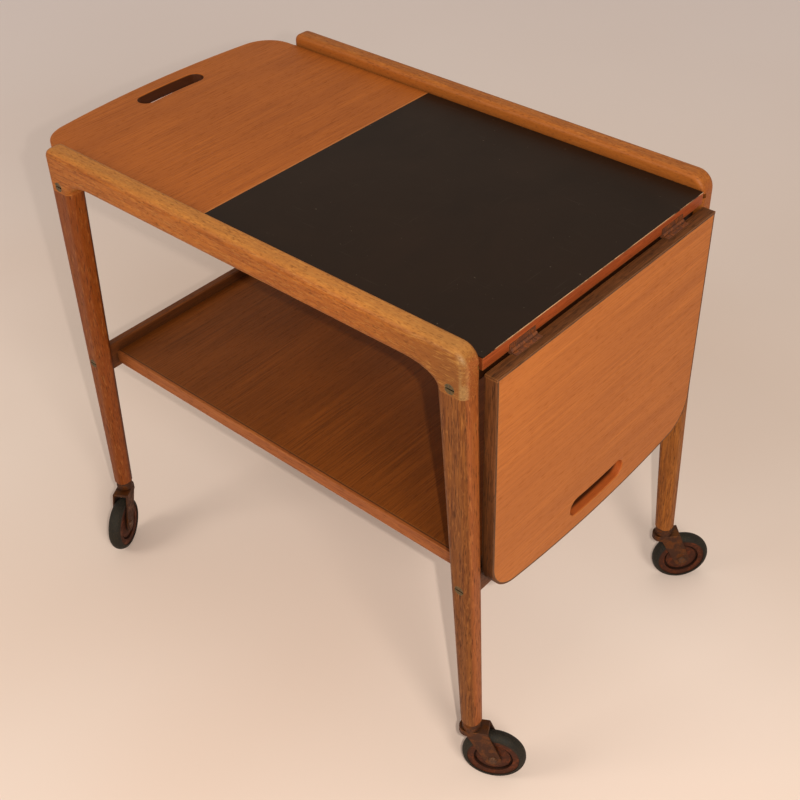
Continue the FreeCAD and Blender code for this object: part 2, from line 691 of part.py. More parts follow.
def on_top(shape):
    """Panel-frame shape moved to the top, whose hinge edge is the +X one."""
    shape = shape.mirror(Vec(0, 0, 0), Vec(1, 0, 0))
    shape.translate(Vec(END_X, 0, TOP_UNDERSIDE))
    return shape


def on_leaf(shape):
    """Panel-frame shape moved to the hanging leaf, a quarter turn down about the hinge axis."""
    shape = shape.copy()
    shape.translate(Vec(END_X + HINGE_GAP, 0, TOP_UNDERSIDE))
    shape.rotate(Vec(END_X + HINGE_GAP / 2, 0, TOP_UNDERSIDE - HINGE_DROP), Vec(0, 1, 0), 90)
    return shape


# ---------------------------------------------------------------- casters
# A caster is drawn with its swivel axis on Z, the floor at z = 0 and its wheel trailing towards +X.


def at_wheel(shape):
    """Shape made about the Z axis, turned to lie along Y on the axle."""
    return aimed(shape, Vec(TRAIL, 0, WHEEL_RADIUS), Vec(0, 1, 0))


def tyre():
    """Solid rubber tyre with a round tread and a foot that sits between the rim flanges."""
    foot = TYRE_FOOT_WIDTH / 2
    half = TYRE_WIDTH / 2
    step = RIM_RADIUS + PART_GAP / 2
    at = lambda radius, height: Vec(radius, 0, height)
    edges = polyline([
        at(TYRE_SHOULDER_RADIUS, -half),
        at(step, -half),
        at(step, -foot),
        at(SEAT_RADIUS, -foot),
        at(SEAT_RADIUS, foot),
        at(step, foot),
        at(step, half),
        at(TYRE_SHOULDER_RADIUS, half),
    ])
    tread = Part.Arc(at(TYRE_SHOULDER_RADIUS, half), at(WHEEL_RADIUS, 0), at(TYRE_SHOULDER_RADIUS, -half))
    face = face_of(edges + [tread.toShape()])
    return at_wheel(face.revolve(Vec(0, 0, 0), Vec(0, 0, 1), 360))


def wheel_disc():
    """Pressed wheel: hub, shallow dish, ring groove and flanged rim, the same on both faces."""
    half_profile = [
        (AXLE_RADIUS + RUNNING_FIT, HUB_WIDTH / 2),
        (HUB_RADIUS, HUB_WIDTH / 2),
        (HUB_RADIUS, DISH_MIDDLE_WIDTH / 2),
        (DISH_RADIUS, DISH_EDGE_WIDTH / 2),
        (DISH_RADIUS, WEB_WIDTH / 2),
        (RIM_INNER_RADIUS, WEB_WIDTH / 2),
        (RIM_INNER_RADIUS, FLANGE_WIDTH / 2),
        (RIM_RADIUS, FLANGE_WIDTH / 2),
        (RIM_RADIUS, TYRE_FOOT_WIDTH / 2),
        (SEAT_RADIUS, TYRE_FOOT_WIDTH / 2),
    ]
    other_half = [(radius, -height) for radius, height in reversed(half_profile)]
    return at_wheel(revolved(half_profile + other_half))


def tangent_point(point, centre, radius, turn):
    """Where the line from a point touches a circle, in the XZ plane; turn is +1 or -1 for the side."""
    offset = point - centre
    angle = math.atan2(offset.z, offset.x) + turn * math.acos(radius / offset.Length)
    return centre + Vec(math.cos(angle), 0, math.sin(angle)) * radius


def fork_cheeks():
    """Side outline of the cheeks, drawn in the XZ plane: wide at the crown, tapering to a round axle boss."""
    centre = Vec(TRAIL, 0, WHEEL_RADIUS)
    front = FORK_WIDTH / 2 - CROWN_FRONT
    knee = Vec(front, 0, CROWN_TOP - SKIRT_DEPTH)
    shoulder = Vec(CROWN_BACK, 0, CROWN_TOP)
    front_touch = tangent_point(knee, centre, AXLE_BOSS_RADIUS, 1)
    back_touch = tangent_point(shoulder, centre, AXLE_BOSS_RADIUS, -1)
    lowest = centre - Vec(0, 0, AXLE_BOSS_RADIUS)
    edges = polyline([front_touch, knee, Vec(front, 0, CROWN_TOP), shoulder, back_touch])
    edges.append(Part.Arc(back_touch, lowest, front_touch).toShape())
    return face_of(edges)


def crown_block(inset, back, z_range):
    """Block with the crown's plan, half round in front and square behind, drawn inwards by the inset."""
    radius = FORK_WIDTH / 2 - inset
    front = FORK_WIDTH / 2 - CROWN_FRONT
    block = box((front, back), (-radius, radius), z_range)
    nose = Part.makeCylinder(radius, z_range[1] - z_range[0], Vec(front, 0, z_range[0]))
    return block.fuse(nose).removeSplitter()


def fork():
    """Pressed fork: flat crown, short skirt round its nose, and two cheeks tapering to the axle."""
    half = FORK_WIDTH / 2
    inner = half - FORK_METAL
    reach = TRAIL + WHEEL_RADIUS
    cheeks = fork_cheeks().extrude(Vec(0, FORK_WIDTH, 0))
    cheeks.translate(Vec(0, -half, 0))
    hood = crown_block(0, CROWN_BACK, (CROWN_TOP - SKIRT_DEPTH, CROWN_TOP))
    shape = hood.fuse(cheeks).removeSplitter()
    shape = rounded(
        shape, FORK_METAL / 2, lambda b: b.ZLength < TOUCH and abs(b.ZMin - CROWN_TOP) < TOUCH
    )
    shape = shape.cut(crown_block(FORK_METAL, reach, (0, CROWN_TOP - FORK_METAL)))
    shape = shape.cut(box((-reach, reach), (-inner, inner), (0, CROWN_TOP - SKIRT_DEPTH)))
    shape = shape.cut(Part.makeCylinder(STEM_RADIUS + RUNNING_FIT, CROWN_TOP))
    axle_hole = Part.makeCylinder(AXLE_RADIUS + CLOSE_FIT, 2 * FORK_WIDTH, Vec(0, 0, -FORK_WIDTH))
    return shape.cut(at_wheel(axle_hole))


def axle():
    """Axle riveted over on the outside of both cheeks."""
    half = FORK_WIDTH / 2
    head = half + AXLE_HEAD_HEIGHT
    chamfer = AXLE_HEAD_RADIUS - AXLE_HEAD_HEIGHT / 2
    upper = [
        (AXLE_RADIUS, half),
        (AXLE_HEAD_RADIUS, half),
        (chamfer, head),
        (0, head),
    ]
    lower = [(radius, -height) for radius, height in reversed(upper)]
    return at_wheel(revolved(lower + upper))


def stem():
    """Swivel stem: rivet head under the crown, race over it, and the pin that goes up the leg."""
    rivet_top = CROWN_TOP - FORK_METAL - PART_GAP
    race_top = RACE_BOTTOM + RACE_HEIGHT
    return revolved([
        (0, rivet_top - STEM_RIVET_HEIGHT),
        (STEM_RIVET_RADIUS, rivet_top - STEM_RIVET_HEIGHT),
        (STEM_RIVET_RADIUS, rivet_top),
        (STEM_RADIUS, rivet_top),
        (STEM_RADIUS, RACE_BOTTOM),
        (RACE_RADIUS, RACE_BOTTOM),
        (RACE_RADIUS, RACE_BOTTOM + RACE_CUP_HEIGHT),
        (RACE_TOP_RADIUS, race_top),
        (STEM_RADIUS, race_top),
        (STEM_RADIUS, CASTER_HEIGHT + STEM_LENGTH),
        (0, CASTER_HEIGHT + STEM_LENGTH),
    ])


def leg_socket():
    """Flanged sleeve driven into the leg's end, which grips the stem."""
    bottom = CASTER_HEIGHT - SOCKET_FLANGE
    bore = STEM_RADIUS + CLOSE_FIT
    return revolved([
        (bore, bottom),
        (SOCKET_FLANGE_RADIUS, bottom),
        (SOCKET_FLANGE_RADIUS, CASTER_HEIGHT),
        (SOCKET_RADIUS, CASTER_HEIGHT),
        (SOCKET_RADIUS, CASTER_HEIGHT + SOCKET_LENGTH),
        (bore, CASTER_HEIGHT + SOCKET_LENGTH),
    ])


def corners():
    """Name, end sign and side sign of each of the four corners."""
    return [
        (side_name + "_" + end_name, end, side)
        for side_name, side in SIDES.items()
        for end_name, end in ENDS.items()
    ]


def at_foot(shape, end, side, heading=0.0):
    """Caster-frame shape turned to its heading and moved under one leg."""
    shape = shape.copy()
    shape.rotate(Vec(0, 0, 0), Vec(0, 0, 1), heading)
    shape.translate(Vec(end * FOOT_X, side * FOOT_Y, 0))
    return shape


# ---------------------------------------------------------------- the trolley


def frame_pieces():
    """Nodes of the two side frames, the cross rails, the shelf and the frame screws."""
    nodes = {}
    for name, side in SIDES.items():
        nodes["side_rail_" + name] = mirrored(side_rail(), 1, side)
        nodes["shelf_lipping_" + name] = mirrored(shelf_lipping(), 1, side)
    for name, end, side in corners():
        nodes["leg_" + name] = mirrored(leg(), end, side)
    for name, end in ENDS.items():
        nodes["upper_cross_rail_" + name] = mirrored(upper_cross_rail(), end)
        nodes["lower_cross_rail_" + name] = mirrored(lower_cross_rail(), end)
    nodes["shelf_panel"] = shelf_panel()
    nodes["frame_screws"] = frame_screws()
    return nodes


def top_pieces():
    """Nodes of the top, with the hinge parts that stay on it."""
    nodes = {
        "top_board": top_board(),
        "top_laminate": laminate(),
        "top_divider_strip": divider_strip(),
        "top_end_lipping": top_end_lipping(),
        "top_bow_lipping": bow_lipping(TOP_LENGTH, TONGUE_END),
        "hinge_screws_top": hinge_screws(),
    }
    for name, side in SIDES.items():
        nodes["top_tongue_" + name] = tongue(side)
    for name, middle in hinge_middles().items():
        nodes["hinge_flap_top_" + name] = hinge_flap(middle, False)
        nodes["hinge_pin_" + name] = hinge_pin(middle)
    return {name: on_top(shape) for name, shape in nodes.items()}


def leaf_pieces():
    """Nodes of the hanging leaf, with the hinge parts that move with it."""
    nodes = {
        "leaf_panel": leaf_panel(),
        "leaf_hinge_lipping": without_hinges(hinge_edge_lipping(LEAF_END_LIPPING, PANEL_THICKNESS)),
        "leaf_bow_lipping": bow_lipping(LEAF_LENGTH, LEAF_END_LIPPING),
        "hinge_screws_leaf": hinge_screws(),
    }
    for name, middle in hinge_middles().items():
        nodes["hinge_flap_leaf_" + name] = hinge_flap(middle, True)
    return {name: on_leaf(shape) for name, shape in nodes.items()}


def caster_pieces():
    """Nodes of the four casters."""
    nodes = {
        "caster_stems": Part.makeCompound([at_foot(stem(), end, side) for _, end, side in corners()]),
        "leg_sockets": Part.makeCompound([at_foot(leg_socket(), end, side) for _, end, side in corners()]),
    }
    makers = {"caster_fork_": fork, "caster_axle_": axle, "wheel_disc_": wheel_disc, "wheel_tyre_": tyre}
    for prefix, maker in makers.items():
        for name, end, side in corners():
            nodes[prefix + name] = at_foot(maker(), end, side, HEADINGS[name])
    return nodes


def main():
    """Write one STEP file for each node."""
    os.makedirs("parts", exist_ok=True)
    for group in (frame_pieces(), top_pieces(), leaf_pieces(), caster_pieces()):
        for name, shape in group.items():
            shape.exportStep("parts/" + name + ".step")
            print(name, len(shape.Solids), round(shape.Volume), shape.isValid())


main()
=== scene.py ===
# %% [markdown]
# # A drop leaf tea trolley: finishes, light and camera
#
# The trolley is joinery: two side frames, four cross rails, a shelf, a top and a hanging leaf, on four
# casters. Every piece is already a solid of its real size, so this file gives each one the surface that its
# maker gave it: oiled wood with the grain running the way the board was cut, a dark laminate, tarnished
# screws, rusty pressed steel and old rubber. Everything is in metres, with the floor at z = 0 and the leaf
# at the +X end.

# %% Load the trolley
import math

import bpy
import numpy as np
from mathutils import Matrix, Vector


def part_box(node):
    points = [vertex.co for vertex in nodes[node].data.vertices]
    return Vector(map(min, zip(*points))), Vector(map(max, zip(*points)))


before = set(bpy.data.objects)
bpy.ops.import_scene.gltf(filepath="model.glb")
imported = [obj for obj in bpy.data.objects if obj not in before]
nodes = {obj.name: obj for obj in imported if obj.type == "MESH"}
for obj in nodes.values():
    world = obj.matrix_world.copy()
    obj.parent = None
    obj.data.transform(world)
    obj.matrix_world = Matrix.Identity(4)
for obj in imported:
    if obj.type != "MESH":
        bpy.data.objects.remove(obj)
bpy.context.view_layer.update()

# %% [markdown]
# ## The camera
#
# A camera is a place, a direction and a lens. It could be pointed by eye, but edges then never quite line
# up. Here it stands where the perspective of the rails and the top puts it: high, in front of the leaf's
# near corner, with a short telephoto lens and a slight lean to the left.

# %% Place the camera
EYE_MM = (880.2, -914.2, 1312.4)
AZIMUTH = -42.816  # degrees from +Y, turning towards +X
LOOK_DOWN = 39.184  # degrees below the horizon
LEAN = -2.113  # degrees, a turn about the line of sight
LENS_MM = 56.85
SENSOR_MM = 36.0


def sight_axes(azimuth, down, lean):
    """Right, up, forward: forward = (sin a cos d, cos a cos d, -sin d), right is level, then both lean."""
    a, d, turn = (math.radians(angle) for angle in (azimuth, down, lean))
    forward = Vector((math.sin(a) * math.cos(d), math.cos(a) * math.cos(d), -math.sin(d)))
    level = Vector((math.cos(a), -math.sin(a), 0.0))
    above = level.cross(forward)
    right = math.cos(turn) * level + math.sin(turn) * above
    up = math.cos(turn) * above - math.sin(turn) * level
    return right, up, forward


def look(azimuth, down, lean, eye):
    """Camera matrix: its columns are right, up and backward, then the eye."""
    right, up, forward = sight_axes(azimuth, down, lean)
    turned = Matrix((right, up, -forward)).transposed().to_4x4()
    return Matrix.Translation(eye) @ turned


lens = bpy.data.cameras.new("camera")
lens.lens = LENS_MM
lens.sensor_width = SENSOR_MM
camera = bpy.data.objects.new("camera", lens)
camera.matrix_world = look(AZIMUTH, LOOK_DOWN, LEAN, Vector(EYE_MM) / 1000)
bpy.context.scene.collection.objects.link(camera)
bpy.context.scene.camera = camera
print("camera at", EYE_MM, "mm with a lens of", LENS_MM, "mm")

# %% [markdown]
# ## Helpers for materials
#
# A material is a small network of nodes. One function adds a node, sets its properties and fills its
# inputs, either with a value or with another node's output. Colours are written as the eye sees them, as
# sRGB hex codes, and turned into the linear light that a renderer counts in.


# %% A node, a colour and an empty material
def add(tree, kind, inputs=None, **settings):
    """Add one shader node; an input that is given another node's socket is linked to it."""
    node = tree.nodes.new("ShaderNode" + kind)
    for name, value in settings.items():
        setattr(node, name, value)
    for key, value in (inputs or {}).items():
        if isinstance(value, bpy.types.NodeSocket):
            tree.links.new(value, node.inputs[key])
        else:
            node.inputs[key].default_value = value
    return node


def linear(code):
    """Linear colour of an sRGB hex code: c / 12.92 up to 0.04045, else ((c + 0.055) / 1.055) ** 2.4."""
    srgb = np.array([int(code[place:place + 2], 16) for place in (0, 2, 4)]) / 255
    light = np.where(srgb <= 0.04045, srgb / 12.92, ((srgb + 0.055) / 1.055) ** 2.4)
    return (*light.tolist(), 1.0)


def blank(name, **settings):
    """Material with only a Principled shader and the output; settings are the shader's constant sockets."""
    material = bpy.data.materials.new(name)
    material.use_nodes = True
    tree = material.node_tree
    tree.nodes.clear()
    shader = add(tree, "BsdfPrincipled", {key.replace("_", " "): value for key, value in settings.items()})
    add(tree, "OutputMaterial", {"Surface": shader.outputs[0]})
    return material, tree, shader


def dress(material, *names):
    """Give a material to CAD pieces, named in full or by how they begin."""
    found = [name for name in sorted(nodes) if name.startswith(names)]
    for name in found:
        for slot in nodes[name].material_slots:
            slot.material = material
    print(material.name, "on", len(found), "pieces")


print("the grey 808080 sends back", round(linear("808080")[0], 3), "of the light")

# %% [markdown]
# ## Masks that all the finishes share
#
# Wood, paint and rubber differ in colour, but they are marked alike. A mask is a number from 0 to 1 over
# the surface. The first kind is noise, for streaks, stains and pores. Its cells are counted in real
# millimetres, so that a streak has the same size on every piece.


# %% Noise in cells of a real size
def marks(tree, size_mm, low=0.3, high=0.7, detail=3.0, roughness=0.55, place=0.0, bend=0.0):
    """Noise with one hill or hollow to a cell of this size, stretched so that low..high becomes 0..1.

    Place slides to another part of the noise, so that two patterns don't coincide, and bend stirs it."""
    where = add(tree, "TexCoord").outputs["Object"]
    scale = tuple(1000 / size for size in size_mm)
    cell = add(tree, "Mapping", {"Vector": where, "Scale": scale, "Location": (place,) * 3}).outputs[0]
    inputs = {"Vector": cell, "Scale": 1.0, "Detail": detail, "Roughness": roughness, "Distortion": bend}
    hills = add(tree, "TexNoise", inputs).outputs["Fac"]
    return add(tree, "MapRange", {"Value": hills, "From Min": low, "From Max": high}).outputs[0]


def grain(along, length_mm, width_mm):
    """Cell sizes along X, Y and Z: the length on the grain's axis and the width on the others."""
    return tuple(length_mm if axis == along else width_mm for axis in "XYZ")


print("a streak 110 mm long and 2.2 mm wide along Y is a cell of", grain("Y", 110, 2.2), "mm")

# %% [markdown]
# The second kind of mask follows the shape: worn edges, which hands rub bright and which on wood also carry
# a painted highlight, and corners, where dirt stays and where the darker tone is also painted shade. Each
# could be painted by hand, but a computed mask fits every piece. The Bevel node bends the normal near an
# edge, so the angle between it and the true normal marks the edge. Ambient Occlusion marks the corners.


# %% Edges and corners
def bevel_edges(tree, radius_mm, sharp=0.75, soft=0.99):
    """1 on edges, 0 on flats: from the cosine between the bevelled and the true normal."""
    bevelled = add(tree, "Bevel", {"Radius": radius_mm / 1000}, samples=4).outputs[0]
    normal = add(tree, "NewGeometry").outputs["Normal"]
    cosine = add(tree, "VectorMath", {0: bevelled, 1: normal}, operation="DOT_PRODUCT").outputs["Value"]
    inputs = {"Value": cosine, "From Min": sharp, "From Max": soft, "To Min": 1.0, "To Max": 0.0}
    return add(tree, "MapRange", inputs).outputs[0]


def corners(tree, reach_mm, dark=0.35, open_=0.85):
    """1 in corners, 0 in the open: from how much of the sky within reach is hidden; tone over it is painted
    shade.
    """
    seen = add(tree, "AmbientOcclusion", {"Distance": reach_mm / 1000}, samples=6).outputs["AO"]
    inputs = {"Value": seen, "From Min": dark, "From Max": open_, "To Min": 1.0, "To Max": 0.0}
    return add(tree, "MapRange", inputs).outputs[0]


# %% [markdown]
# The third kind picks a stretch of a piece, or the faces that look one way. It reads the place and the
# normal in the piece's own coordinates, so it moves with the piece.


# %% Faces by place and direction
def part(tree, output, axis):
    """One coordinate of the place in m (output Object) or of the way the face looks (output Normal)."""
    return add(tree, "SeparateXYZ", {0: add(tree, "TexCoord").outputs[output]}).outputs[axis]


def facing(axis, low=0.5, high=0.9):
    """Function that adds the mask of the faces that look along an axis, either way."""
    def mask(tree):
        size = add(tree, "Math", {0: part(tree, "Normal", axis)}, operation="ABSOLUTE").outputs[0]
        return add(tree, "MapRange", {"Value": size, "From Min": low, "From Max": high}).outputs[0]
    return mask


def inward(axis, low=-0.05, high=-0.17):
    """Function that adds the mask of the faces that look towards the trolley's middle.

    Their place times their normal is below 0: -0.2 m on a rail's inner face, which stands 0.2 m out."""
    def mask(tree):
        inputs = {0: part(tree, "Object", axis), 1: part(tree, "Normal", axis)}
        side = add(tree, "Math", inputs, operation="MULTIPLY").outputs[0]
        return add(tree, "MapRange", {"Value": side, "From Min": low, "From Max": high}).outputs[0]
    return mask


# %% [markdown]
# ## Layers
#
# A finish is then built up as a polisher would: a ground colour, other tones laid over it through masks,
# and last the gloss and the relief.


# %% Layers
def laid_over(tree, ground, code, mask, most=1.0):
    """The ground colour with a tone over it; the tone's share is the mask times most."""
    share = add(tree, "MapRange", {"Value": mask, "To Max": most}).outputs[0]
    return add(tree, "Mix", {0: share, 6: ground, 7: linear(code)}, data_type="RGBA").outputs[2]


def finish(tree, shader, colour, gloss, roughness, height, depth_mm, strength):
    """Join colour, roughness (its two ends, by a mask) and a relief of a real depth in mm to the shader."""
    low, high = roughness
    rough = add(tree, "MapRange", {"Value": gloss, "To Min": low, "To Max": high}).outputs[0]
    inputs = {"Height": height, "Distance": depth_mm / 1000, "Strength": strength}
    relief = add(tree, "Bump", inputs).outputs[0]
    for socket, value in {"Base Color": colour, "Roughness": rough, "Normal": relief}.items():
        tree.links.new(value, shader.inputs[socket])


# %% [markdown]
# ## Oiled wood
#
# A board is a bundle of fibres. Cut lengthwise it shows fine lines of early and late wood along the grain,
# wider soft bands, and the pores as short dark dashes. An image could be wrapped round it, but it would
# repeat and smear at the ends. Here the lines are noise in cells that are long along the grain and narrow
# across it, in several sizes. A real pore is 0.2 to 0.3 mm wide, too fine to show from here, so the dashes
# are drawn 1 to 1.5 mm wide. Oil soaks in and leaves a soft satin surface that reflects little, a bit
# rougher where the pores are open.

# %% The patterns of wood
LINES = {"low": 0.34, "high": 0.66, "detail": 4.0, "roughness": 0.62, "place": 7.3, "bend": 0.1}
PORES = {"low": 0.55, "high": 0.70, "detail": 2.0, "roughness": 0.5, "place": 11.7}
BANDS = {"low": 0.42, "high": 0.62, "detail": 2.0, "roughness": 0.5, "place": 1.9, "bend": 0.4}
CLOUDS = {"low": 0.52, "high": 0.70, "detail": 2.0, "roughness": 0.5, "place": 3.1}
CLOUD_MM, CLOUD_SHARE = (160, 110), 0.35  # broad paler patches in every board
OIL = {"IOR": 1.5, "Specular_IOR_Level": 0.17}  # oil lies in the wood, not on it, so it reflects less
# on wood this is also the width of the painted highlight along the edges
EDGE_MM = 2.0  # how far from an edge hands rub
# dark tone laid into the corners: dirt, and painted shade
DIRT_AND_SHADE_TONE = "1a0b04"
PORE_DEPTH_MM, PORE_RELIEF = 0.12, 0.5


def timber(name, along, tones, band_mm=(420, 40), line_mm=(110, 2.2), pore_mm=(11, 1.3), bands=0.45,
           pores=0.35, edge_share=0.2, edge_tone="c98a4c", dirt_and_shade=(12, 0.55), roughness=(0.46, 0.62), extra=()):
    """Oiled wood with its grain along one axis; tones are sRGB codes for light wood, dark wood and pores.

    Sizes are length and width in mm. Bands, pores and edge share are shares of the dark wood, the pores and
    the rubbed edges, which also carry a painted highlight. Dirt and shade is the reach of the dark corners
    in mm and its
    share: dirt, and painted shade. Roughness is that of the wood and of its open pores. Extra layers are
    (code, share, mask function)."""
    material, tree, shader = blank(name, **OIL)
    light, dark, pore = tones
    lines = marks(tree, grain(along, *line_mm), **LINES)
    dashes = marks(tree, grain(along, *pore_mm), **PORES)
    colour = laid_over(tree, linear(light), dark, lines)
    colour = laid_over(tree, colour, dark, marks(tree, grain(along, *band_mm), **BANDS), bands)
    colour = laid_over(tree, colour, light, marks(tree, grain(along, *CLOUD_MM), **CLOUDS), CLOUD_SHARE)
    for code, share, mask in extra:
        colour = laid_over(tree, colour, code, mask(tree), share)
    colour = laid_over(tree, colour, pore, dashes, pores)
    # edges lighter: rubbed by hands, and a painted highlight along them
    colour = laid_over(tree, colour, edge_tone, bevel_edges(tree, EDGE_MM), edge_share)
    # the corners are darkened: painted shade, with dirt
    reach_mm, dirt = dirt_and_shade
    colour = laid_over(tree, colour, DIRT_AND_SHADE_TONE, corners(tree, reach_mm), dirt)
    relief = add(tree, "Math", {0: lines, 1: dashes}, operation="SUBTRACT").outputs[0]
    finish(tree, shader, colour, dashes, roughness, relief, PORE_DEPTH_MM, PORE_RELIEF)
    return material


print("wood is drawn in lines, pores, bands and clouds; clouds are", CLOUD_MM, "mm")

# %% [markdown]
# ## The side rails
#
# The side rails are the lightest wood, golden and finely speckled, the far one a little redder. The trolley
# is pushed by the near rail's end beside the leaf, so there the oil is worn off, the wood has gone drier
# and olive, and the upright roundings are pale in patches. The upper faces are bleached. The inner faces,
# which see little light, are painted a darker red: painted shade.

# %% Masks for the rails
GRIPPED_FROM, GRIPPED_TO = 0.17, 0.30  # along the trolley, m
ROUNDING_FROM, ROUNDING_TO = -0.08, -0.35  # normal's X times its Y: -0.5 half way round the gripped corner
PATCH_MM = (22, 22, 30)
FLECK_MM = (14, 1.8)  # length and width
MOTTLE_MM = (7, 4, 4)


def gripped(tree):
    """The end at the leaf, where the trolley is pushed."""
    inputs = {"Value": part(tree, "Object", "X"), "From Min": GRIPPED_FROM, "From Max": GRIPPED_TO}
    return add(tree, "MapRange", inputs).outputs[0]


def gripped_edges(tree):
    """Upright roundings there, in patches: the normal's X and Y are both large, so their product is too."""
    turning = {0: part(tree, "Normal", "X"), 1: part(tree, "Normal", "Y")}
    turn = add(tree, "Math", turning, operation="MULTIPLY").outputs[0]
    inputs = {"Value": turn, "From Min": ROUNDING_FROM, "From Max": ROUNDING_TO}
    rounding = add(tree, "MapRange", inputs).outputs[0]
    patchy = {0: rounding, 1: marks(tree, PATCH_MM, low=0.36, high=0.56, roughness=0.5, place=6.0)}
    patches = add(tree, "Math", patchy, operation="MULTIPLY").outputs[0]
    return add(tree, "Math", {0: patches, 1: gripped(tree)}, operation="MULTIPLY").outputs[0]


def flecks(along):
    """Function that adds the mask of short pale flecks along the grain."""
    def mask(tree):
        size_mm = grain(along, *FLECK_MM)
        return marks(tree, size_mm, low=0.54, high=0.66, detail=2.0, roughness=0.6, place=21.0, bend=0.8)
    return mask


def mottles(tree):
    """Small round blotches, where sweat and rubbing took the oil off in spots."""
    return marks(tree, MOTTLE_MM, low=0.45, high=0.66, roughness=0.7, place=30.0)


end_grain = facing("X", 0.75, 0.97)
print("the near rail is gripped from", GRIPPED_FROM, "to", GRIPPED_TO, "m along it")

# %% Dress the rails
NEAR_RAIL_TONES = ("a55f20", "834415", "542a0c")
FAR_RAIL_TONES = ("a86126", "86481a", "5c2d10")
END_GRAIN_TONE = "8f4820"
# painted shade: darker red on the faces turned to the trolley's middle
INNER_TONE = "94501c"
rail_cut = {"band_mm": (300, 30), "line_mm": (34, 2.2), "pore_mm": (6, 1.5), "bands": 0.3, "pores": 0.5,
            "edge_share": 0.12}
near_layers = [
    ("693e19", 0.8, gripped),  # olive, where the oil is worn off
    (END_GRAIN_TONE, 0.6, end_grain),  # end grain drinks more oil and turns red
    ("c88c4a", 0.32, facing("Z")),  # bleached by light
    ("6b3d18", 0.25, mottles),
    ("be8a48", 0.25, flecks("X")),
    (INNER_TONE, 0.6, inward("Y")),
    ("9c8458", 0.33, gripped_edges),  # rubbed down to bare dry wood
]
far_layers = [
    (END_GRAIN_TONE, 0.5, end_grain),
    ("6b3510", 0.25, mottles),
    ("c9904f", 0.15, flecks("X")),
    (INNER_TONE, 0.6, inward("Y")),
]
dress(timber("oiled_near_rail", "X", NEAR_RAIL_TONES, edge_tone="d69350", extra=near_layers, **rail_cut),
      "side_rail_near")
dress(timber("oiled_far_rail", "X", FAR_RAIL_TONES, edge_tone="c98242", extra=far_layers, **rail_cut),
      "side_rail_far")

# %% [markdown]
# ## Legs and cross rails
#
# Legs are redder and darker than the rails, with open pores that run down them. The two at the end away from
# the leaf were cut from a redder board, and their sides across the trolley, which face the shade under the
# top, are
# painted dark: painted shade. The far one at the leaf is painted lighter to make up for the leaf's shadow on
# it:
# painted light. The cross rails run across the trolley, so their grain does too. The upper two lie close
# under the top, one of them behind the leaf, where dust and shade reach far, so the dirt and painted shade
# in the cross rails' corners reach 45 mm.

# %% Masks for the legs
BOARD_CHANGE = 0.1  # m either side of the middle; every leg lies well outside it
SHADED_SIDE_FROM, SHADED_SIDE_TO = -0.01, -0.12  # place times normal, m


def left_board(tree):
    """1 on the legs at the -X end."""
    inputs = {"Value": part(tree, "Object", "X"), "From Min": BOARD_CHANGE, "From Max": -BOARD_CHANGE}
    return add(tree, "MapRange", inputs).outputs[0]


def left_shaded_sides(tree):
    """The -X legs' sides that look across the trolley, into the shade under the top; their dark tone is
    painted shade.
    """
    inputs = {0: left_board(tree), 1: inward("Y", SHADED_SIDE_FROM, SHADED_SIDE_TO)(tree)}
    return add(tree, "Math", inputs, operation="MULTIPLY").outputs[0]


# %% Dress legs and cross rails
LEG_TONES = ("7a4619", "562a0c", "301507")
# the far leg at the leaf has lighter tones to make up for the leaf's shadow on it: painted light
PAINTED_LIGHT_LEG_TONES = ("97591f", "6c3811", "3a1a08")
CROSS_TONES = ("75401c", "562c12", "2c1406")
LEG_FLECK_TONE = "b97a40"
CROSS_DIRT_AND_SHADE = (45, 0.9)
leg_cut = {"band_mm": (260, 14), "line_mm": (46, 2.0), "pore_mm": (13, 1.5), "bands": 0.35, "pores": 0.65,
           "edge_share": 0.12, "edge_tone": "b0743c"}
leg_layers = [
    ("a05426", 0.5, end_grain),
    ("74350b", 0.75, left_board),
    (LEG_FLECK_TONE, 0.22, flecks("Z")),
    # painted shade on the -X legs' sides across the trolley
    ("2a1006", 0.75, left_shaded_sides),
]
painted_light_leg_layers = [(LEG_FLECK_TONE, 0.22, flecks("Z"))]
dress(timber("oiled_leg", "Z", LEG_TONES, extra=leg_layers, **leg_cut), "leg_near", "leg_far_left")
dress(timber("oiled_leg_painted_light", "Z", PAINTED_LIGHT_LEG_TONES, extra=painted_light_leg_layers, **leg_cut), "leg_far_right")
dress(timber("oiled_cross_rail", "Y", CROSS_TONES, dirt_and_shade=CROSS_DIRT_AND_SHADE),
      "upper_cross_rail", "lower_cross_rail")

# %% [markdown]
# ## Veneer
#
# Top, leaf and shelf are board with veneer. Its grain runs across the trolley on all three, straight and
# fine. The finger slots are cut through it, and a mask of the faces that don't look along the board's
# thickness darkens their walls, in the top to near black and in the leaf with a red stain. In the leaf's
# slot the hinder part of the walls is painted nearly black: a painted shadow.

# %% Masks for the slots
FLAT_FROM, FLAT_TO = 0.35, 0.8  # size of the normal's part along the thickness
LEAF_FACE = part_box("leaf_panel")[1].x
DEEP_FROM, DEEP_TO = LEAF_FACE - 0.0075, LEAF_FACE - 0.0110  # the leaf is 15 mm thick


def cut_walls(axis):
    """Function that adds the mask of the faces that don't look along the board's thickness."""
    def mask(tree):
        flat = facing(axis, FLAT_FROM, FLAT_TO)(tree)
        return add(tree, "Math", {0: 1.0, 1: flat}, operation="SUBTRACT").outputs[0]
    return mask


def slot_painted_shadow(tree):
    """The walls of the leaf's slot from about 9 mm in, painted nearly black as their shadow."""
    inputs = {"Value": part(tree, "Object", "X"), "From Min": DEEP_FROM, "From Max": DEEP_TO}
    deep = add(tree, "MapRange", inputs).outputs[0]
    return add(tree, "Math", {0: deep, 1: cut_walls("X")(tree)}, operation="MULTIPLY").outputs[0]


print("the leaf's face is at x =", round(LEAF_FACE, 4), "m")

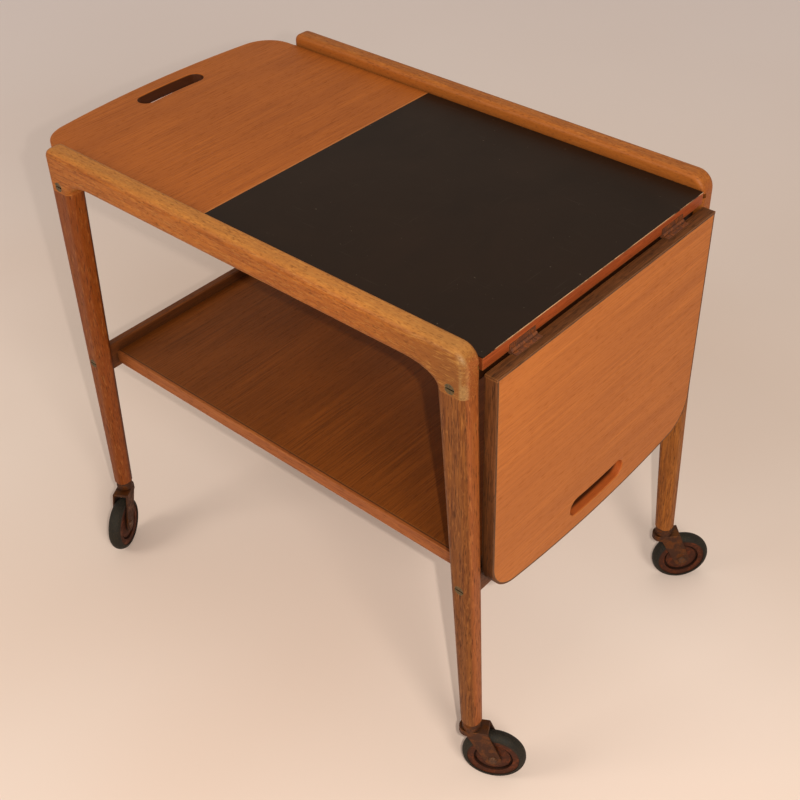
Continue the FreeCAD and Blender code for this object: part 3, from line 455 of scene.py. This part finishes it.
# %% Dress top, leaf and shelf
TOP_TONES = ("a85b20", "8b4717", "5c2a0c")
LEAF_TONES = ("b5692b", "9a5521", "713611")
SHELF_TONES = ("793f13", "5e2f0c", "3c1b08")
veneer = {"band_mm": (520, 34), "line_mm": (120, 1.9), "pore_mm": (12, 1.2), "pores": 0.28, "edge_share": 0.15}
top_layers = [("2c1006", 0.92, cut_walls("Z"))]
leaf_layers = [
    ("a44c20", 0.85, cut_walls("X")),  # red stain
    # painted shadow: the hinder part of the slot's walls
    ("1c0a04", 0.9, slot_painted_shadow),
]
dress(timber("oiled_top_veneer", "Y", TOP_TONES, extra=top_layers, **veneer), "top_board")
dress(timber("oiled_leaf_veneer", "Y", LEAF_TONES, extra=leaf_layers, **veneer), "leaf_panel")
dress(timber("oiled_shelf_veneer", "Y", SHELF_TONES, **veneer), "shelf_panel")

# %% [markdown]
# ## Lippings
#
# Raw edges are covered by lippings: thin strips of solid wood with the grain along the strip,
# veneer-coloured round the top's bow, dark round the leaf, reddish at the hinges. The shelf's lippings have
# gathered a dark line of dirt where they meet the shelf. The pale divider lies between laminate and veneer.

# %% Dress the lippings
SHELF_LIPPING_TONES = ("9c5a2b", "7e421f", "46200c")
BOW_TONES = ("ab5f22", "8f4a19", "5e2c0e")
LEAF_EDGE_TONES = ("693c1d", "3f210b", "201006")
HINGE_EDGE_TONES = ("9e4a22", "7e3817", "54220e")
DIVIDER_TONES = ("b0672f", "99542a", "6a3414")
SHELF_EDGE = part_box("shelf_lipping_far")[0].y
LINE_ENDS, LINE_FULL = SHELF_EDGE + 0.0025, SHELF_EDGE + 0.0015  # the dirt fades out over 1 mm
print("the shelf's edge is", round(SHELF_EDGE, 4), "m from the middle")


def glue_line(tree):
    """The shelf lipping's first 2 mm, dark with dirt against the shelf."""
    across = add(tree, "Math", {0: part(tree, "Object", "Y")}, operation="ABSOLUTE").outputs[0]
    return add(tree, "MapRange", {"Value": across, "From Min": LINE_ENDS, "From Max": LINE_FULL}).outputs[0]


dress(timber("shelf_lipping_wood", "X", SHELF_LIPPING_TONES, band_mm=(200, 12), line_mm=(50, 2.0), pores=0.5,
             extra=[("240e05", 0.8, glue_line)]), "shelf_lipping")
dress(timber("bow_lipping_wood", "Y", BOW_TONES, band_mm=(160, 9), line_mm=(60, 1.8)), "top_bow_lipping")
dress(timber("hinge_edge_wood", "Y", HINGE_EDGE_TONES, band_mm=(200, 9), line_mm=(50, 2.0)),
      "top_end_lipping", "top_tongue")
leaf_edge_cut = {"band_mm": (160, 7), "line_mm": (34, 1.7), "pores": 0.6}
dress(timber("stained_leaf_edge", "Z", LEAF_EDGE_TONES, **leaf_edge_cut), "leaf_bow_lipping")
dress(timber("stained_hinge_edge", "Y", LEAF_EDGE_TONES, **leaf_edge_cut), "leaf_hinge_lipping")
dress(timber("divider_wood", "Y", DIVIDER_TONES), "top_divider_strip")

# %% [markdown]
# ## Laminate
#
# The dark part of the top is a sheet of high pressure laminate: paper soaked in resin and pressed hard,
# almost black, with a satin face. It is never one flat colour. Wiping leaves cloudy patches in the gloss,
# and hard dishes leave fine pale scratches and specks. A real scratch is about 0.1 mm wide, and is drawn
# 1.1 mm wide and faint. The cut edge at the hinge has been chipped down to pale paper.

# %% Laminate
SATIN_RESIN = {"IOR": 1.5, "Specular_IOR_Level": 0.12}  # the pressing plate left a fine matt texture
RESIN_BLACK, RESIN_BROWN = "1b0f08", "22130a"
SCRATCH_TONE, SPECK_TONE, PAPER_TONE = "8a7c70", "a8988a", "d0a47c"
WIPED_MM = (170, 170, 170)  # clouds that a cloth leaves
HAIR_X_MM, HAIR_Y_MM = (60, 1.1, 10), (1.1, 80, 10)  # scratches along and across the trolley
SPECK_MM = (3.2, 3.2, 3.2)
CHIP_MM = (8, 30, 8)
PEEL_MM = (9, 9, 9)  # the faint swell of a pressed sheet


def laminate(name):
    """Near-black satin sheet: cloudy colour and gloss, hair scratches both ways, pale specks, pale edge."""
    material, tree, shader = blank(name, **SATIN_RESIN)
    cloud = marks(tree, WIPED_MM, detail=4.0, roughness=0.6, bend=0.5)
    hair_x = marks(tree, HAIR_X_MM, low=0.74, high=0.80, detail=1.0, roughness=0.4)
    hair_y = marks(tree, HAIR_Y_MM, low=0.75, high=0.80, detail=1.0, roughness=0.4, place=5.0)
    specks = marks(tree, SPECK_MM, low=0.80, high=0.83, detail=1.0, roughness=0.5, place=9.0)
    edge = {0: facing("X")(tree), 1: marks(tree, CHIP_MM, low=0.42, high=0.54, roughness=0.6, place=2.0)}
    chips = add(tree, "Math", edge, operation="MULTIPLY").outputs[0]
    colour = laid_over(tree, linear(RESIN_BLACK), RESIN_BROWN, cloud)
    for code, mask, share in ((SCRATCH_TONE, hair_x, 0.07), (SCRATCH_TONE, hair_y, 0.07),
                              (SPECK_TONE, specks, 0.3), (PAPER_TONE, chips, 0.8)):
        colour = laid_over(tree, colour, code, mask, share)
    orange_peel = marks(tree, PEEL_MM, detail=2.0)
    finish(tree, shader, colour, cloud, (0.42, 0.32), height=orange_peel, depth_mm=0.03, strength=0.3)
    return material


dress(laminate("pressed_satin_laminate"), "top_laminate")

# %% [markdown]
# ## Metal
#
# The screws are slotted brass gone olive brown. The forks and wheel discs are pressed steel whose bronze
# coloured finish has worn through to rust. Bare metal would be fully metallic; rust and old lacquer are
# not, so the same noise that picks the rust also lowers the metallic value and raises the roughness. Grains
# of rust are 0.1 to 0.3 mm, too fine to show, so the grit is drawn 1.6 mm wide.

# %% Aged metal
RUST_BLEND = 0.16  # from bare to stained, in the noise's own measure
GRIT_MM = (1.6, 1.6, 1.6)
GRIT_TONE, METAL_DIRT_AND_SHADE = "160c06", "0d0704"
METAL_EDGE_MM, METAL_CORNER_MM = 0.9, 6


def aged_metal(name, bare, stain, patch_mm, spotless, roughness, metallic=(1.0, 0.3), edge_share=0.4):
    """Metal under stain or rust: patches are noise in round cells; the stain is rougher and less metallic.

    Spotless is the level of the noise below which the metal is bare; the pairs are for bare and stained."""
    material, tree, shader = blank(name)
    patch_cell = (patch_mm,) * 3
    stained = marks(tree, patch_cell, spotless, spotless + RUST_BLEND, detail=5.0, roughness=0.65, bend=0.4)
    grit = marks(tree, GRIT_MM, low=0.35, high=0.72, roughness=0.65, place=2.0)
    colour = laid_over(tree, linear(bare), stain, stained)
    colour = laid_over(tree, colour, GRIT_TONE, grit, 0.4)
    colour = laid_over(tree, colour, bare, bevel_edges(tree, METAL_EDGE_MM), edge_share)
    # corners darkened: painted shade, with dirt
    colour = laid_over(tree, colour, METAL_DIRT_AND_SHADE, corners(tree, METAL_CORNER_MM), 0.7)
    bare_shine, stain_shine = metallic
    shine = add(tree, "MapRange", {"Value": stained, "To Min": bare_shine, "To Max": stain_shine}).outputs[0]
    tree.links.new(shine, shader.inputs["Metallic"])
    finish(tree, shader, colour, stained, roughness, height=grit, depth_mm=0.12, strength=0.5)
    return material


dress(aged_metal("tarnished_brass", "766340", "4c3d26", patch_mm=4.0, spotless=0.40, roughness=(0.40, 0.62)),
      "frame_screws")
dress(aged_metal("dull_hinge_brass", "9a5428", "5c2e14", patch_mm=6.0, spotless=0.36, roughness=(0.45, 0.70),
                 metallic=(0.5, 0.1), edge_share=0.3), "hinge_")
dress(aged_metal("worn_fork_steel", "6e3e18", "462410", patch_mm=11.0, spotless=0.38, roughness=(0.45, 0.70),
                 metallic=(0.8, 0.5)), "caster_fork", "caster_stems", "leg_sockets")
dress(aged_metal("riveted_axle_steel", "6c4426", "442614", patch_mm=5.0, spotless=0.42,
                 roughness=(0.38, 0.62), metallic=(0.8, 0.3)), "caster_axle")
dress(aged_metal("rusty_wheel_steel", "74391a", "4a200a", patch_mm=10.0, spotless=0.36,
                 roughness=(0.48, 0.75), metallic=(0.8, 0.5), edge_share=0.25), "wheel_disc")

# %% [markdown]
# ## Rubber
#
# Solid rubber tyres start black and turn grey as the surface oxidises; dust and floor wax settle in the
# tread and brown the sides. There is no metal in it and little gloss. The grit is coarser than real dust,
# as above.

# %% Rubber
DULL_RUBBER = {"IOR": 1.52, "Specular_IOR_Level": 0.25}
RUBBER_BLACK, RUBBER_GREY, DUST_TONE, RUBBER_DIRT_AND_SHADE = "110e0a", "201c15", "5a4634", "0a0806"
BLOOM_MM, RUBBER_CORNER_MM = (16, 16, 16), 5


def old_rubber(name):
    """Black rubber greyed in clouds, with brown dust in fine grit."""
    material, tree, shader = blank(name, **DULL_RUBBER)
    cloud = marks(tree, BLOOM_MM, low=0.35, high=0.65, detail=4.0, roughness=0.6)
    grit = marks(tree, GRIT_MM, low=0.5, high=0.8, detail=2.0, roughness=0.7, place=4.0)
    colour = laid_over(tree, linear(RUBBER_BLACK), RUBBER_GREY, cloud)
    colour = laid_over(tree, colour, DUST_TONE, grit, 0.35)
    # corners darkened: painted shade, with dirt
    colour = laid_over(tree, colour, RUBBER_DIRT_AND_SHADE, corners(tree, RUBBER_CORNER_MM), 0.6)
    finish(tree, shader, colour, cloud, (0.6, 0.8), height=grit, depth_mm=0.15, strength=0.5)
    return material


dress(old_rubber("oxidised_rubber"), "wheel_tyre")

# %% [markdown]
# ## Floor
#
# The trolley stands on a plain pale floor. A flat plane has a hard horizon, so this floor is a shallow
# dish: it is level under the trolley and curls up far outside. It is a surface of revolution on a grid of
# radius and angle, worked out as whole arrays. Its paint drifts a little in tone, and grows paler away from
# the trolley.

# %% The floor's shape
FLOOR_FLAT = 3.2  # radius of the level part, m
FLOOR_RIM = 5.2
FLOOR_RISE = 1.6
FLOOR_HUB = 0.05  # radius of the single face in the middle, m


def dish(name, hub, flat, rim, rise, rings=48, spokes=96):
    """Height is 0 out to the flat radius, then rise * t^2 with t from 0 at the flat to 1 at the rim."""
    radius, angle = np.meshgrid(np.linspace(hub, rim, rings), np.linspace(0, 2 * np.pi, spokes, False),
                                indexing="ij")
    height = rise * np.clip((radius - flat) / (rim - flat), 0, 1) ** 2
    points = np.stack([radius * np.cos(angle), radius * np.sin(angle), height], -1).reshape(-1, 3)
    ring, spoke = np.meshgrid(np.arange(rings - 1), np.arange(spokes), indexing="ij")
    beyond = (spoke + 1) % spokes
    corner = [ring * spokes + spoke, (ring + 1) * spokes + spoke, (ring + 1) * spokes + beyond,
              ring * spokes + beyond]
    faces = np.stack(corner, -1).reshape(-1, 4).tolist() + [list(range(spokes))]
    mesh = bpy.data.meshes.new(name)
    mesh.from_pydata(points.tolist(), [], faces)
    mesh.shade_smooth()
    thing = bpy.data.objects.new(name, mesh)
    bpy.context.scene.collection.objects.link(thing)
    return thing


floor = dish("floor", FLOOR_HUB, FLOOR_FLAT, FLOOR_RIM, FLOOR_RISE)
print("floor with", len(floor.data.polygons), "faces")

# %% The floor's paint
FLOOR_TONE, DRIFT_TONE, FAR_TONE = "e4d3ce", "dcc6bd", "fbecee"
NEAR_UNTIL, FAR_FROM = 0.7, 2.4  # distance from the trolley's middle, m

floor_paint, tree, shader = blank("pale_floor", Roughness=0.9, Specular_IOR_Level=0.1)
drift = laid_over(tree, linear(FLOOR_TONE), DRIFT_TONE, marks(tree, (900, 900, 900), detail=2.0))
where = add(tree, "TexCoord").outputs["Object"]
away = add(tree, "VectorMath", {0: where}, operation="LENGTH").outputs["Value"]
far_off = add(tree, "MapRange", {"Value": away, "From Min": NEAR_UNTIL, "From Max": FAR_FROM}).outputs[0]
tree.links.new(laid_over(tree, drift, FAR_TONE, far_off), shader.inputs["Base Color"])
floor.data.materials.append(floor_paint)
print("floor paint from", FLOOR_TONE, "near to", FAR_TONE, "far off")

# %% [markdown]
# ## World and lamps
#
# A photographer would use one big lamp near the camera and a pale room for the rest. The big lamp stands
# beside the leaf and rather low, so that the hanging leaf gets more light than the level top; the room and
# two weaker lamps fill the shadows. A small flash close to the lens lights the shelf under the top and
# draws a thin dark line beside each rail and leg.

# %% The room
LIGHT_TINT = "fff9e8"  # slightly warm
ROOM_STRENGTH = 0.42

world = bpy.data.worlds.new("room")
world.use_nodes = True
bpy.context.scene.world = world
room = world.node_tree.nodes["Background"]
room.inputs["Color"].default_value = linear(LIGHT_TINT)
room.inputs["Strength"].default_value = ROOM_STRENGTH
print("room light of strength", ROOM_STRENGTH)

# %% The lamps
LAMPS = {  # place, size and power of each lamp, in m and W
    "key": ((1.9, -1.15, 1.70), 0.7, 28.0),
    "fill": ((-1.2, -2.2, 1.75), 1.2, 24.0),
    "top": ((0.0, 0.5, 2.6), 1.6, 8.0),
    "flash": ((0.926, -0.872, 1.312), 0.02, 11.0),
}
LAMP_TARGET = Vector((0.0, 0.0, 0.35))  # the middle of the trolley

for name, (place, size, power) in LAMPS.items():
    lamp = bpy.data.lights.new(name, "AREA")
    lamp.shape = "DISK"
    lamp.size = size
    lamp.energy = power
    lamp.color = linear(LIGHT_TINT)[:3]
    holder = bpy.data.objects.new(name, lamp)
    holder.location = place
    aim = LAMP_TARGET - Vector(place)
    holder.rotation_euler = aim.to_track_quat("-Z", "Y").to_euler()
    bpy.context.scene.collection.objects.link(holder)
    print("lamp", name, "of", power, "W at", place)

bpy.context.scene.view_settings.view_transform = "Standard"
